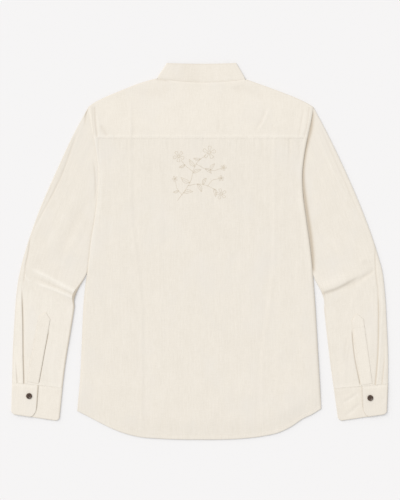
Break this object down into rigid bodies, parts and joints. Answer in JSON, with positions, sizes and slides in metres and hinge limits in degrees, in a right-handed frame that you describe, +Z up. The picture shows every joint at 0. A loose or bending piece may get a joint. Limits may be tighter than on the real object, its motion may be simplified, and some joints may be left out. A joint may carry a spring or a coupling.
{
  "type": "mandarin collar shirt",
  "caption": "Long sleeved shirt with a band collar, a yoke, a curved tail and buttoned cuffs, laid flat with its back up.",
  "frame": {"origin": "middle of the laid out shirt's bounding box, on the surface that it lies on", "axes": "+Z up from the surface, +Y towards the collar, +X towards the wearer's right sleeve"},
  "size_m": [0.7921, 0.791, 0.0079],
  "materials": {
    "shirt_cloth": "matt plain weave with slubs",
    "button": "polished dark horn look"
  },
  "bodies": {
    "root": {"back": "shirt_cloth", "yoke": "shirt_cloth", "front_left": "shirt_cloth", "front_right": "shirt_cloth", "collar_band": "shirt_cloth", "sleeve_left": "shirt_cloth", "sleeve_right": "shirt_cloth", "placket_left": "shirt_cloth", "placket_right": "shirt_cloth", "cuff_left": "shirt_cloth", "cuff_right": "shirt_cloth", "button_cuff_left": "button", "button_cuff_right": "button", "button_front_1": "button", "button_front_2": "button", "button_front_3": "button", "button_front_4": "button", "button_front_5": "button", "button_front_6": "button", "button_front_7": "button"}
  },
  "joints": []
}
